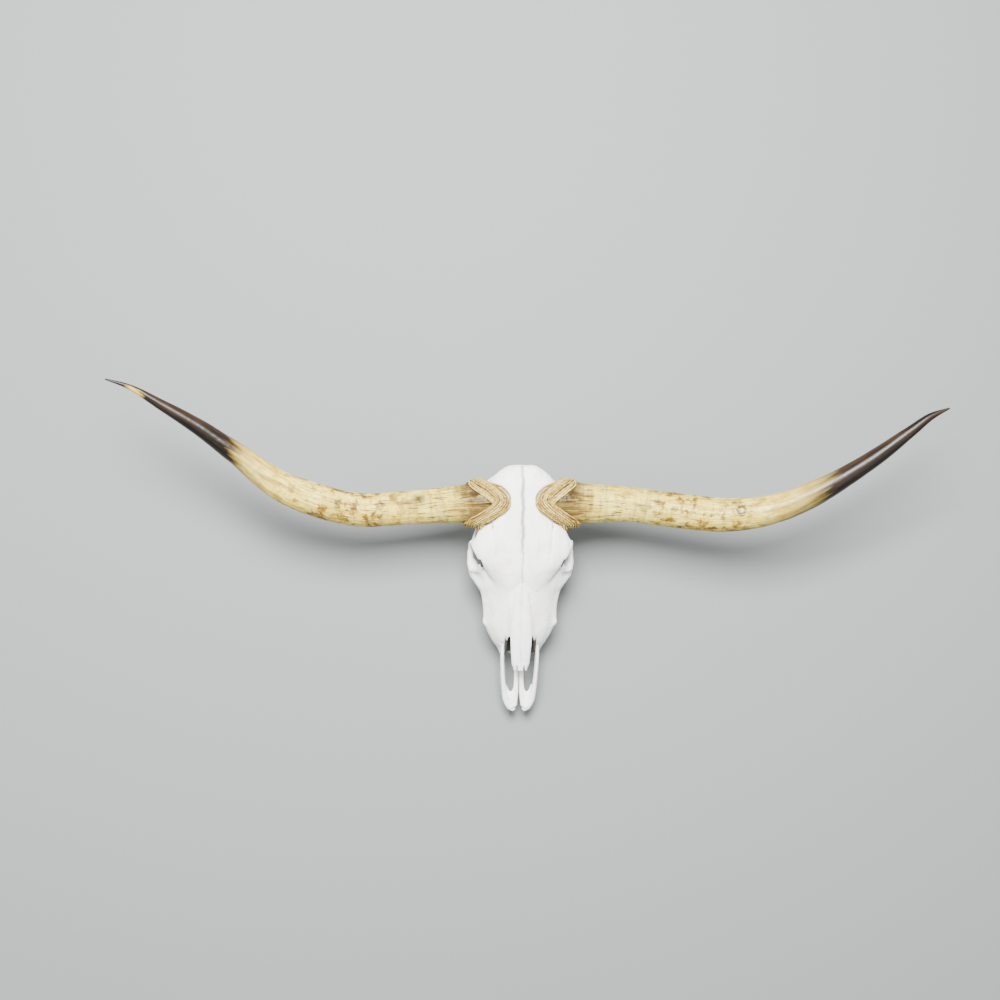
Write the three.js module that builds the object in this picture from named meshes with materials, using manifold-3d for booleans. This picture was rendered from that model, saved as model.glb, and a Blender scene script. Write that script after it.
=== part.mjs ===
// Skull of a longhorn steer without its lower jaw, lying on its cheek teeth and on the two bony
// processes behind them, face up. The horns spread along X and are lashed with cord where they leave
// the head. Millimetres, +Z up; the nose points to -Y. "Left" and "right" are the animal's own, so
// its left side is +X.
import * as THREE from 'three';
import { ParametricGeometry } from 'three/addons/geometries/ParametricGeometry.js';
import { mergeVertices } from 'three/addons/utils/BufferGeometryUtils.js';
import Module from 'manifold-3d';

const wasm = await Module();
wasm.setup();

// ---------------------------------------------------------------- driving dimensions
// Y is counted from the back edge of the poll, X from the middle of the head, Z from the floor.
const SKULL = {
  nasion: -250, // where the forehead meets the nose bones
  nasalTip: -438,
  noseNotch: -351, // back corner of the gap between nose bone and upper jaw
};
const ORBIT = { x: 80, y: -192, z: 131 }; // middle of the eye socket
const HORN_ROOT = { x: 66, y: -81, z: 150, radius: 43.5 };
const TOOTH_ROW = { front: -386, back: -247, gum: 27, foot: 0 };
const JOINT_GAP = 0.4; // clearance between neighbouring pieces
const FINENESS = 1; // bumps smaller than this are left out of the bone
const LEFT = 1;
const RIGHT = -1;

// ---------------------------------------------------------------- shape helpers
const vec = (x, y, z) => new THREE.Vector3(x, y, z);

// Smooth value of one field between stations that are sorted by their position.
function between(stations, at, field) {
  const n = stations.length;
  const rising = stations[n - 1].at > stations[0].at ? 1 : -1;
  let i = 0;
  while (i < n - 2 && (at - stations[i + 1].at) * rising > 0) i += 1;
  const span = stations[i + 1].at - stations[i].at;
  const t = THREE.MathUtils.clamp((at - stations[i].at) / span, 0, 1);
  const slope = (k) => {
    const a = stations[Math.max(k - 1, 0)];
    const b = stations[Math.min(k + 1, n - 1)];
    return (b[field] - a[field]) / (b.at - a.at);
  };
  const p0 = stations[i][field];
  const p1 = stations[i + 1][field];
  const t2 = t * t;
  const t3 = t2 * t;
  return (2 * t3 - 3 * t2 + 1) * p0 + (t3 - 2 * t2 + t) * span * slope(i)
    + (3 * t2 - 2 * t3) * p1 + (t3 - t2) * span * slope(i + 1);
}

// A closed skin over a row of rings. pointAt(ring, u) gives a point for u from 0 to 1 round a ring.
function skin(rings, sides, pointAt) {
  const rows = rings + 1;
  return new ParametricGeometry((u, v, target) => {
    const row = Math.round(v * rows);
    const ring = THREE.MathUtils.clamp(row - 1, 0, rings - 1);
    if (row > 0 && row < rows) {
      target.copy(pointAt(ring, u % 1));
      return;
    }
    target.set(0, 0, 0);
    for (let k = 0; k < sides; k += 1) target.addScaledVector(pointAt(ring, k / sides), 1 / sides);
  }, sides, rows);
}

// A loft along Y with `steps` rings from each station to the next. outline(station) gives the
// corners of the half section on the +X side, from the top to the bottom of the middle line; the
// other half mirrors it.
function loft(stations, fields, outline, steps) {
  const curves = [];
  const rings = (stations.length - 1) * steps + 1;
  for (let r = 0; r < rings; r += 1) {
    const i = Math.min(Math.floor(r / steps), stations.length - 2);
    const y = THREE.MathUtils.lerp(stations[i].at, stations[i + 1].at, r / steps - i);
    const here = { at: y };
    for (const field of fields) here[field] = between(stations, y, field);
    const half = outline(here);
    const corners = half.map(([x, z]) => vec(x, y, z));
    const mirror = half.slice(1, -1).reverse().map(([x, z]) => vec(-x, y, z));
    curves.push(new THREE.CatmullRomCurve3([...corners, ...mirror], true, 'centripetal'));
  }
  const sides = curves[0].points.length * 2;
  return skin(rings, sides, (ring, u) => curves[ring].getPoint(u));
}

// A bar along a smooth line. Each station is [x, y, z, half width, half height]; `up` is the side
// that the height is measured towards. A closed bar is a ring.
function bar(stations, { steps = 2, sides = 8, up = vec(0, 0, 1), closed = false } = {}) {
  const line = new THREE.CatmullRomCurve3(stations.map(([x, y, z]) => vec(x, y, z)), closed, 'centripetal');
  const n = stations.length;
  const size = (t, k) => {
    const place = t * (closed ? n : n - 1);
    const i = Math.min(Math.floor(place), closed ? n - 1 : n - 2);
    const a = stations[i][k];
    const b = stations[(i + 1) % n][k];
    return THREE.MathUtils.lerp(a, b, place - i);
  };
  const pointAt = (t, u) => {
    const along = line.getTangent(t);
    const across = vec(0, 0, 0).crossVectors(along, up).normalize();
    const high = vec(0, 0, 0).crossVectors(across, along);
    const angle = u * 2 * Math.PI;
    return line.getPoint(t)
      .addScaledVector(across, Math.cos(angle) * size(t, 3))
      .addScaledVector(high, Math.sin(angle) * size(t, 4));
  };
  if (closed) {
    return new ParametricGeometry((u, v, target) => target.copy(pointAt(v % 1, u % 1)), sides, n * steps);
  }
  const rings = (n - 1) * steps + 1;
  return skin(rings, sides, (ring, u) => pointAt(ring / (rings - 1), u));
}

// A rounded lump: an ellipsoid at squareness 2, and closer to a box with round edges above that.
function lump([x, y, z], [rx, ry, rz], { squareness = 2, segments = 14 } = {}) {
  const geometry = new THREE.SphereGeometry(1, segments, Math.round(segments * 0.7));
  const points = geometry.attributes.position;
  for (let i = 0; i < points.count; i += 1) {
    const p = vec(points.getX(i), points.getY(i), points.getZ(i));
    const reach = Math.abs(p.x) ** squareness + Math.abs(p.y) ** squareness + Math.abs(p.z) ** squareness;
    p.multiplyScalar(reach ** (-1 / squareness));
    points.setXYZ(i, x + p.x * rx, y + p.y * ry, z + p.z * rz);
  }
  return geometry;
}

// A straight prism: corners [a, b] drawn in one plane and pushed through a range of the third axis.
function prism(corners, from, to, axis) {
  const shape = new THREE.Shape(corners.map(([a, b]) => new THREE.Vector2(a, b)));
  const geometry = new THREE.ExtrudeGeometry(shape, { depth: to - from, bevelEnabled: false });
  geometry.translate(0, 0, from);
  if (axis === 'x') geometry.applyMatrix4(new THREE.Matrix4().makeBasis(vec(0, 1, 0), vec(0, 0, 1), vec(1, 0, 0)));
  return geometry;
}

// A manifold solid from a closed geometry, with its faces pointing out and moved out by `grow`.
function solid(geometry, grow = 0) {
  const bare = geometry.clone();
  bare.deleteAttribute('normal');
  bare.deleteAttribute('uv');
  const merged = mergeVertices(bare, 1e-3);
  const points = merged.attributes.position;
  const corner = (i) => vec().fromBufferAttribute(points, i);
  const index = [];
  let volume = 0;
  for (let i = 0; i < merged.index.count; i += 3) {
    const [a, b, c] = [0, 1, 2].map((k) => merged.index.getX(i + k));
    if (a === b || b === c || c === a) continue;
    index.push(a, b, c);
    volume += corner(a).dot(corner(b).cross(corner(c)));
  }
  if (volume < 0) index.reverse();
  if (grow > 0) {
    merged.setIndex(index);
    merged.computeVertexNormals();
    const out = merged.attributes.normal;
    for (let i = 0; i < points.count; i += 1) {
      const moved = corner(i).addScaledVector(vec().fromBufferAttribute(out, i), grow);
      points.setXYZ(i, moved.x, moved.y, moved.z);
    }
  }
  const triVerts = new Uint32Array(index);
  return new wasm.Manifold(new wasm.Mesh({ numProp: 3, vertProperties: points.array, triVerts }));
}

const join = (pieces) => pieces.reduce((a, b) => a.add(b));
const both = (make) => [LEFT, RIGHT].flatMap(make);

// ---------------------------------------------------------------- braincase, forehead and face
const CORE_FIELDS = ['top', 'roofX', 'roofZ', 'cheekX', 'cheekZ', 'gumX', 'gumZ', 'low'];
const CORE = [
  { at: -20, top: 148, roofX: 34, roofZ: 140, cheekX: 50, cheekZ: 108, gumX: 34, gumZ: 78, low: 70 },
  { at: -40, top: 158, roofX: 54, roofZ: 146, cheekX: 78, cheekZ: 100, gumX: 46, gumZ: 60, low: 56 },
  { at: -72, top: 162, roofX: 62, roofZ: 150, cheekX: 82, cheekZ: 102, gumX: 50, gumZ: 56, low: 50 },
  { at: -106, top: 162, roofX: 58, roofZ: 150, cheekX: 57, cheekZ: 112, gumX: 46, gumZ: 56, low: 50 },
  { at: -150, top: 160, roofX: 50, roofZ: 150, cheekX: 46, cheekZ: 114, gumX: 32, gumZ: 58, low: 52 },
  { at: -186, top: 158, roofX: 48, roofZ: 150, cheekX: 42, cheekZ: 112, gumX: 32, gumZ: 56, low: 50 },
  { at: -208, top: 156, roofX: 56, roofZ: 143, cheekX: 84, cheekZ: 104, gumX: 38, gumZ: 50, low: 48 },
  { at: -230, top: 155, roofX: 56, roofZ: 142, cheekX: 103, cheekZ: 102, gumX: 48, gumZ: 40, low: 46 },
  { at: -254, top: 154, roofX: 46, roofZ: 142, cheekX: 93, cheekZ: 99, gumX: 58, gumZ: 30, low: 45 },
  { at: -276, top: 151, roofX: 36, roofZ: 141, cheekX: 81, cheekZ: 96, gumX: 61, gumZ: 27, low: 44 },
  { at: -308, top: 144, roofX: 30, roofZ: 134, cheekX: 78, cheekZ: 90, gumX: 61, gumZ: 25, low: 44 },
  { at: -340, top: 133, roofX: 27, roofZ: 125, cheekX: 76, cheekZ: 83, gumX: 59, gumZ: 25, low: 44 },
  { at: -364, top: 126, roofX: 26, roofZ: 117, cheekX: 64, cheekZ: 77, gumX: 55, gumZ: 26, low: 44 },
  { at: -384, top: 112, roofX: 31, roofZ: 99, cheekX: 51, cheekZ: 71, gumX: 47, gumZ: 30, low: 44 },
  { at: -391, top: 105, roofX: 33, roofZ: 92, cheekX: 44, cheekZ: 69, gumX: 42, gumZ: 35, low: 44 },
  { at: -404, top: 92, roofX: 36, roofZ: 80, cheekX: 41, cheekZ: 65, gumX: 39, gumZ: 42, low: 44 },
  { at: -438, top: 59, roofX: 33, roofZ: 58, cheekX: 37.5, cheekZ: 54, gumX: 34, gumZ: 50, low: 49 },
];

function core() {
  const outline = (s) => [
    [0, s.top],
    [s.roofX, s.roofZ],
    [s.cheekX, s.cheekZ],
    [s.gumX, s.gumZ],
    [s.gumX * 0.62, (s.gumZ + s.low) / 2],
    [0, s.low],
  ];
  return solid(loft(CORE, CORE_FIELDS, outline, 1));
}

// The forehead is a broad plate, thick at the poll, whose side edges overhang the eye sockets.
const FOREHEAD_FIELDS = ['top', 'wide', 'edge', 'under'];
const FOREHEAD = [
  { at: -2.5, top: 168, wide: 26, edge: 158, under: 136 },
  { at: -9, top: 177, wide: 40, edge: 152, under: 124 },
  { at: -20, top: 182, wide: 54, edge: 150, under: 112 },
  { at: -38, top: 186, wide: 72, edge: 150, under: 110 },
  { at: -80, top: 187, wide: 83, edge: 156, under: 138 },
  { at: -134, top: 185, wide: 90, edge: 158, under: 144 },
  { at: -151, top: 184, wide: 98, edge: 156, under: 142 },
  { at: -169, top: 182, wide: 108, edge: 151, under: 138 },
  { at: -185, top: 179, wide: 100, edge: 158, under: 144 },
  { at: -202, top: 176, wide: 88, edge: 157, under: 144 },
  { at: -226, top: 170, wide: 76, edge: 146, under: 132 },
  { at: -250, top: 161, wide: 56, edge: 142, under: 128 },
  { at: -276, top: 147, wide: 28, edge: 138, under: 126 },
];

function forehead() {
  const outline = (s) => [
    [0, s.top],
    [s.wide * 0.55, s.top - 2],
    [s.wide * 0.88, s.top * 0.45 + s.edge * 0.55 + 2],
    [s.wide, s.edge],
    [s.wide * 0.86, s.edge * 0.36 + s.under * 0.64],
    [0, s.under],
  ];
  return solid(loft(FOREHEAD, FOREHEAD_FIELDS, outline, 1));
}

const sided = (side, stations) => stations.map(([x, ...rest]) => [x * side, ...rest]);

// Rim of the eye socket, from the brow round by the tear bone and the cheekbone.
function orbitRim(side) {
  const stations = sided(side, [
    [102, -168, 149, 6, 7],
    [95, -185, 159, 6, 6],
    [85, -203, 154, 6, 6],
    [88, -220, 134, 8, 9],
    [100, -218, 113, 9.5, 14],
    [104, -198, 103, 6, 11],
    [105, -176, 106, 3.4, 8],
    [103.5, -163, 127, 4.6, 7],
  ]);
  return solid(bar(stations, { sides: 6, up: vec(side, 0, 0), closed: true }));
}

// The arch from the cheekbone back to the block in front of the ear.
function cheekArch(side) {
  const stations = sided(side, [
    [84, -262, 94, 5, 9],
    [103, -232, 99, 7, 11],
    [107.5, -206, 98, 4.6, 9],
    [104.5, -174, 97, 3.4, 8],
    [96, -146, 96, 3.8, 8],
    [84, -118, 96, 5, 9],
    [74, -90, 98, 8, 11],
  ]);
  return join([
    solid(bar(stations, { steps: 1, sides: 7 })),
    solid(lump([75 * side, -68, 98], [19, 28, 24], { segments: 8 })),
  ]);
}

// Ridge on the upper jaw that ends in the face knob.
function faceCrest(side) {
  return solid(bar(sided(side, [
    [68, -348, 80, 3, 5],
    [73.5, -334, 84, 5.5, 8],
    [75, -304, 88, 4, 6],
    [80, -268, 93, 5, 8],
  ]), { steps: 1, sides: 6 }));
}

// Bone swelling that carries the horn, inside the lashing.
const hornBoss = (side) => solid(bar(sided(side, [
  [30, -81, 146, 36, 32],
  [HORN_ROOT.x, HORN_ROOT.y, HORN_ROOT.z, 41, 40],
  [88, -81, 150, 40, 40],
]), { steps: 1, sides: 16, up: vec(0, 1, 0) }));

// ---------------------------------------------------------------- base of the skull
const condyle = (side) => solid(lump([27 * side, -36, 70], [18, 24, 20], { segments: 9 }));

// Blade beside each condyle; its tip stands on the floor.
const jugularProcess = (side) => solid(bar(sided(side, [
  [66, -60, 92, 15, 20],
  [64, -66, 62, 11, 20],
  [60, -75, 30, 7.5, 15],
  [56, -82, -4, 5.5, 9],
]), { steps: 1, up: vec(0, 1, 0) }));

const earBulla = (side) => solid(lump([45 * side, -104, 46], [12, 20, 19], { segments: 8 }));

const earTube = (side) => solid(bar(sided(side, [
  [50, -92, 66, 9, 9],
  [78, -88, 76, 7, 7],
]), { steps: 1 }));

// Plates beside the inner nostrils.
const pterygoid = (side) => solid(bar(sided(side, [
  [27, -160, 60, 4, 10],
  [26, -200, 44, 4, 16],
  [30, -240, 38, 6, 12],
]), { steps: 1, sides: 6 }));

// ---------------------------------------------------------------- cheek teeth
// Three small premolars, then three two-lobed molars, each row bowed a little outwards.
const TEETH = [
  { length: 17, wide: 16 },
  { length: 18, wide: 18 },
  { length: 19, wide: 20 },
  { length: 26, wide: 23 },
  { length: 29, wide: 24 },
  { length: 29, wide: 23 },
];

function toothRow(side) {
  const middle = (TOOTH_ROW.front + TOOTH_ROW.back) / 2;
  const bow = (y) => 49 - 5 * ((y - middle) / 70) ** 2;
  const crowns = [];
  let y = TOOTH_ROW.front;
  for (const { length, wide } of TEETH) {
    const lobes = length > 20 ? 2 : 1;
    for (let k = 0; k < lobes; k += 1) {
      const run = length / lobes;
      const at = y + run * (k + 0.5);
      crowns.push(solid(bar([
        [bow(at) * side, at, TOOTH_ROW.gum + 16, wide * 0.52, run * 0.64],
        [bow(at) * side, at, TOOTH_ROW.foot - 3, wide * 0.46, run * 0.56],
      ], { steps: 1, sides: 6, up: vec(0, 1, 0) })));
    }
    y += length;
  }
  return join(crowns);
}

// ---------------------------------------------------------------- hollows
function eyeSocket(side) {
  const { x, y, z } = ORBIT;
  return solid(bar([
    [(x - 36) * side, y + 12, z - 3, 12, 12],
    [x * side, y, z, 26, 26],
    [(x + 44) * side, y + 4, z + 2, 31, 30],
  ], { steps: 1, sides: 12, up: vec(0, 1, 0) }));
}

const foramenMagnum = () => solid(lump([0, -20, 88], [18, 36, 17], { segments: 8 }));

const innerNostrils = () => solid(lump([0, -206, 42], [19, 36, 24], { segments: 8 }));

// Nasal cavity: closed in by the face at the back, an open trough beyond the nose bones.
function noseCavity() {
  const stations = [
    { at: -312, top: 116, wide: 8, low: 92 },
    { at: -340, top: 120, wide: 20, low: 68 },
    { at: -368, top: 116, wide: 27, low: 56 },
    { at: -386, top: 132, wide: 27, low: 53 },
    { at: -410, top: 132, wide: 31, low: 54 },
    { at: -446, top: 132, wide: 33, low: 54 },
  ];
  const outline = (s) => [
    [0, s.top],
    [s.wide * 0.9, s.top - 3],
    [s.wide, (s.top + s.low) / 2],
    [s.wide * 0.9, s.low + 3],
    [0, s.low],
  ];
  return solid(loft(stations, ['top', 'wide', 'low'], outline, 1));
}

// Plan of the open notch between a nose bone and the upper jaw.
function noseNotch(side) {
  const corners = [
    [25 * side, SKULL.noseNotch],
    [14 * side, -404],
    [30 * side, -404],
    [26.5 * side, -378],
  ];
  return solid(prism(corners, 62, 150, 'z'));
}

// Opening through the palate, between the rod beside the middle line and the edge of the jaw.
function palateOpening(side) {
  const corners = [
    [18 * side, -404],
    [25 * side, -397],
    [31 * side, -406],
    [32.5 * side, -450],
    [17 * side, -450],
  ];
  return solid(prism(corners, 30, 100, 'z'));
}

// The upper jaws end here; the toothless bones carry on without them.
const muzzleEnd = () => solid(prism([[-60, -407], [60, -407], [60, -460], [-60, -460]], 30, 130, 'z'));

// ---------------------------------------------------------------- nose bones
const NASAL_FIELDS = ['top', 'wide'];
const NASAL = [
  { at: SKULL.nasion, top: 163.5, wide: 5 },
  { at: -262, top: 160.5, wide: 15 },
  { at: -300, top: 151, wide: 19 },
  { at: -335, top: 141.5, wide: 22.5 },
  { at: -358, top: 134.5, wide: 23.5 },
  { at: -398, top: 120.5, wide: 21 },
  { at: -426, top: 109, wide: 18.5 },
  { at: SKULL.nasalTip, top: 104, wide: 14 },
];

function nasal(side, grow = 0) {
  const rings = 13;
  const inner = JOINT_GAP / 2;
  const corners = [];
  for (let r = 0; r < rings; r += 1) {
    const y = THREE.MathUtils.lerp(SKULL.nasion, SKULL.nasalTip, r / (rings - 1));
    const top = between(NASAL, y, 'top');
    const wide = between(NASAL, y, 'wide');
    corners.push([
      [inner, top - 1.5],
      [wide * 0.35, top],
      [wide * 0.75, top - 2],
      [wide, top - 6],
      [wide - 1, top - 8.5],
      [inner, top - 7.5],
    ].map(([x, z]) => vec(x * side, y, z)));
  }
  const sides = corners[0].length;
  return solid(skin(rings, sides, (ring, u) => corners[ring][Math.round(u * sides) % sides]), grow);
}

// ---------------------------------------------------------------- front of the upper jaw
function premaxilla(side, grow = 0) {
  const strip = sided(side, [
    [36, -372, 93, 2.5, 5],
    [37.5, -402, 79, 4, 10],
    [36, -440, 65, 4.2, 11],
    [32.8, -478, 53, 4.8, 9],
    [27, -503, 46, 7.5, 7],
    [18, -520, 42, 8, 6],
    [9.5, -527, 40, 4.5, 4.5],
  ]);
  const strut = sided(side, [
    [5.3, -394, 51, 4.6, 3.8],
    [5.3, -412, 51.5, 4.6, 3.8],
    [5.5, -462, 50, 4.8, 4.5],
    [6.6, -490, 47, 5.6, 5],
    [9, -518, 43.5, 5, 5],
  ]);
  // The body is a plate whose back edge is the round front end of the opening through the palate.
  const body = [
    [5, -480],
    [10.5, -478],
    [13.5, -486],
    [18, -489],
    [23, -483],
    [28, -470],
    [32, -492],
    [25, -511],
    [15, -523],
    [8, -520],
  ].map(([x, y]) => [x * side, y]);
  return join([
    solid(bar(strip, { sides: 7 }), grow),
    solid(bar(strut, { steps: 1, sides: 6 }), grow),
    solid(prism(body, 39, 49, 'z'), grow),
  ]);
}

// ---------------------------------------------------------------- horns
// Each station is the middle of the horn and its radius, from the root to the tip.
const LEFT_HORN = [
  [HORN_ROOT.x, HORN_ROOT.y, HORN_ROOT.z, HORN_ROOT.radius],
  [143, -82, 152, 42],
  [220, -84, 158, 37.5],
  [316, -96, 167, 37.5],
  [441, -106, 187, 35.5],
  [541, -88, 209, 30],
  [605, -60, 225, 26.5],
  [667, -24, 240, 21.5],
  [729, 18, 256, 17.5],
  [791, 66, 272, 12],
  [832, 97, 280, 7.5],
  [868, 113, 286, 1.5],
];
const RIGHT_HORN = [
  [-HORN_ROOT.x, HORN_ROOT.y, HORN_ROOT.z, HORN_ROOT.radius],
  [-140, -84, 152, 39.5],
  [-240, -91, 160, 36],
  [-340, -95, 170, 35.5],
  [-422, -77, 183, 35.5],
  [-499, -46, 198, 31.5],
  [-587, 19, 220, 22.7],
  [-673, 80, 242, 16],
  [-730, 114, 256, 11.5],
  [-800, 153, 274, 5],
  [-842, 166, 281, 1.5],
];

function horn(stations, grow = 0) {
  const round = stations.map(([x, y, z, r]) => [x, y, z, r, r]);
  return solid(bar(round, { sides: 12, up: vec(0, 1, 0) }), grow);
}

// ---------------------------------------------------------------- cord lashing at a horn's root
// One broad band of cord round the root. It reaches far in over the forehead and crosses the top
// and bottom of the horn further out.
const LASHING = {
  outerX: 102, // middle of the band where it crosses the horn's top and bottom
  innerX: 43, // middle of the band over the forehead
  radius: 44.5,
  halfWide: 17,
  halfThick: 5,
  frontLift: -3, // the band sinks to the forehead at its inner end
};

function lashing(side, grow = 0) {
  const turns = 20;
  const stations = [];
  for (let k = 0; k < turns; k += 1) {
    const angle = (k / turns) * 2 * Math.PI;
    const front = Math.max(0, Math.cos(angle)) ** 1.3;
    const reach = LASHING.radius + LASHING.frontLift * front;
    stations.push([
      (LASHING.outerX + (LASHING.innerX - LASHING.outerX) * front) * side,
      HORN_ROOT.y + Math.sin(angle) * (reach + 2),
      HORN_ROOT.z + Math.cos(angle) * reach,
      LASHING.halfWide + 1.5 * front,
      LASHING.halfThick + 3 * front,
    ]);
  }
  const middle = vec(LASHING.outerX * side, HORN_ROOT.y, HORN_ROOT.z);
  return solid(ringBand(stations, middle, 20, 8), grow);
}

// A closed band whose thickness points away from the horn's axis, which runs along X.
function ringBand(stations, middle, rings, sides) {
  const line = new THREE.CatmullRomCurve3(stations.map(([x, y, z]) => vec(x, y, z)), true, 'centripetal');
  const n = stations.length;
  return new ParametricGeometry((u, v, target) => {
    const t = v % 1;
    const place = t * n;
    const i = Math.floor(place) % n;
    const next = stations[(i + 1) % n];
    const size = (k) => THREE.MathUtils.lerp(stations[i][k], next[k], place - Math.floor(place));
    const p = line.getPoint(t);
    const out = vec(0, p.y - middle.y, p.z - middle.z).normalize();
    const across = vec(0, 0, 0).crossVectors(line.getTangent(t), out).normalize();
    const high = vec(0, 0, 0).crossVectors(across, line.getTangent(t)).normalize();
    const angle = (u % 1) * 2 * Math.PI;
    target.copy(p).addScaledVector(across, Math.cos(angle) * size(3));
    target.addScaledVector(high, Math.sin(angle) * size(4));
  }, sides, rings);
}

// ---------------------------------------------------------------- the whole, parted at its joints
const FLOOR_CUT = solid(prism([[-200, -700], [200, -700], [200, 100], [-200, 100]], -60, 0, 'z'));

// Side view of the joint between the upper jaw and the rest, as corners [y, z] from top to bottom.
const JAW_JOINT = [[-279, 190], [-279, 146], [-262, 118], [-252, 92], [-240, 64], [-236, 40], [-236, -60]];

function jawZone(from, to, shift) {
  const line = JAW_JOINT.map(([y, z]) => [y + shift, z]);
  return solid(prism([...line, [-620, -60], [-620, 190]], from, to, 'x'));
}

const horns = { left: horn(LEFT_HORN), right: horn(RIGHT_HORN) };
const lashings = { left: lashing(LEFT), right: lashing(RIGHT) };

const bone = join([
  core(),
  forehead(),
  ...both((side) => [
    cheekArch(side),
    faceCrest(side),
    hornBoss(side),
    condyle(side),
    jugularProcess(side),
    earBulla(side),
    earTube(side),
    pterygoid(side),
  ]),
]);

const hollows = join([
  foramenMagnum(),
  innerNostrils(),
  noseCavity(),
  muzzleEnd(),
  ...both((side) => [eyeSocket(side), noseNotch(side), palateOpening(side)]),
]);

const rims = join(both((side) => [orbitRim(side), toothRow(side)]));

const fitted = join([
  horn(LEFT_HORN, JOINT_GAP),
  horn(RIGHT_HORN, JOINT_GAP),
  ...both((side) => [
    lashing(side, JOINT_GAP),
    nasal(side, JOINT_GAP),
    premaxilla(side, JOINT_GAP),
  ]),
  FLOOR_CUT,
]);

const skull = bone.subtract(hollows).add(rims).simplify(FINENESS).subtract(fitted);

const SURFACE = {
  bone: { color: 0xf1f0ea, roughness: 0.75 },
  horn: { color: 0xd8cd98, roughness: 0.4 },
  cord: { color: 0xc9ab77, roughness: 0.9 },
};

const steerSkull = new THREE.Group();

function addPiece(name, body, surface) {
  const { vertProperties, triVerts } = body.getMesh();
  const geometry = new THREE.BufferGeometry();
  geometry.setAttribute('position', new THREE.BufferAttribute(vertProperties, 3));
  geometry.setIndex(new THREE.BufferAttribute(triVerts, 1));
  const mesh = new THREE.Mesh(geometry, new THREE.MeshStandardMaterial(surface));
  mesh.name = name;
  steerSkull.add(mesh);
}

const biggest = (body) => body.decompose().sort((a, b) => b.volume() - a.volume())[0];

addPiece('cranium', biggest(skull.subtract(jawZone(-140, 140, JOINT_GAP * 1.5))), SURFACE.bone);
for (const [name, side] of [['left', LEFT], ['right', RIGHT]]) {
  const [from, to] = side === LEFT ? [JOINT_GAP / 2, 140] : [-140, -JOINT_GAP / 2];
  addPiece(`maxilla_${name}`, biggest(skull.intersect(jawZone(from, to, 0))), SURFACE.bone);
  addPiece(`nasal_${name}`, nasal(side), SURFACE.bone);
  addPiece(`premaxilla_${name}`, premaxilla(side), SURFACE.bone);
  addPiece(`horn_${name}`, biggest(horns[name].subtract(lashing(side, JOINT_GAP))), SURFACE.horn);
  addPiece(`lashing_${name}`, lashings[name], SURFACE.cord);
}

// The origin is the middle of the whole outline, at floor level.
const outline = new THREE.Box3().setFromObject(steerSkull);
const centre = outline.getCenter(new THREE.Vector3());
steerSkull.position.set(-centre.x, -centre.y, -outline.min.z);
steerSkull.updateMatrixWorld(true);

export default steerSkull;
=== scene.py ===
import math

import bmesh
import bpy
import numpy as np
from mathutils import Matrix, Vector, noise
from mathutils.bvhtree import BVHTree


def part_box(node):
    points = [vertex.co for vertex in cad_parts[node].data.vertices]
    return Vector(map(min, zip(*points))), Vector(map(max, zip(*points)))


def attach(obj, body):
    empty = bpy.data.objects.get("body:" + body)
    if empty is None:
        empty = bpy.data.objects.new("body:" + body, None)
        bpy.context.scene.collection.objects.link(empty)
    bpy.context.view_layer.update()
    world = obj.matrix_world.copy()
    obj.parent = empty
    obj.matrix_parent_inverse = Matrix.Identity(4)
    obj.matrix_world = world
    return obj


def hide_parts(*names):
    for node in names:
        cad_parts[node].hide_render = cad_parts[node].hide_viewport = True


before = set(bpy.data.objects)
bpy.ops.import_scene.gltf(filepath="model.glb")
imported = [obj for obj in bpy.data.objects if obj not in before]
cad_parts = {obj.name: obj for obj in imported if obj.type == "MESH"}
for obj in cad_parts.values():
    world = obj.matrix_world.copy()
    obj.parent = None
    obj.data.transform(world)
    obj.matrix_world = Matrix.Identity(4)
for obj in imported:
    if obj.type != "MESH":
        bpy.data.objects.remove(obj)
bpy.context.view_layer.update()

# ---------------------------------------------------------------- braincase, brow and upper jaws
# Dry bone of a grown steer: a braincase and brow fused into one piece and two upper jaws that meet
# it along toothed joints. The horn cores grow out of the brow, and the cheek teeth are rooted in
# the jaws. Cleaned, bleached and left bare.
MM = 0.001
MIDDLE_X = (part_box("nasal_left")[0].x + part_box("nasal_right")[1].x) / 2
POLL_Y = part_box("cranium")[1].y + 2.5 * MM  # the back of the poll, where lengths are counted from


def place(points):
    """Head measures (mm from the middle line, the poll and the floor) to metres."""
    return np.asarray(points, float) * MM + (MIDDLE_X, POLL_Y, 0)


def measure(points):
    """Metres to head measures in mm."""
    return (np.asarray(points, float) - (MIDDLE_X, POLL_Y, 0)) / MM


def shown(name, mesh):
    """Puts a mesh in the scene as an object of its own."""
    piece = bpy.data.objects.new(name, mesh)
    bpy.context.collection.objects.link(piece)
    return piece


def fine_copy(name, nodes, grow, voxel):
    """One fine, even skin round copies of solids, each first grown a little so that they join."""
    shell = bmesh.new()
    for node in nodes:
        shell.from_mesh(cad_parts[node].data)
    bmesh.ops.remove_doubles(shell, verts=shell.verts, dist=0.002 * MM)
    shell.normal_update()
    for v in shell.verts:
        v.co += v.normal * grow * MM
    coarse = bpy.data.meshes.new(name)
    shell.to_mesh(coarse)
    shell.free()
    piece = shown(name, coarse)
    remesh = piece.modifiers.new("even skin", "REMESH")
    remesh.mode = "VOXEL"
    remesh.voxel_size = voxel * MM
    bpy.context.view_layer.update()
    graph = bpy.context.evaluated_depsgraph_get()
    fine = bpy.data.meshes.new_from_object(piece.evaluated_get(graph))
    bpy.data.objects.remove(piece)
    bpy.data.meshes.remove(coarse)
    return fine


def points_of(mesh, kind="vertices", field="co", width=3):
    """One field of every vertex, edge, normal or UV as rows of numbers."""
    values = np.empty(len(getattr(mesh, kind)) * width, int if field == "vertices" else float)
    getattr(mesh, kind).foreach_get(field, values)
    return values.reshape(-1, width)


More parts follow.
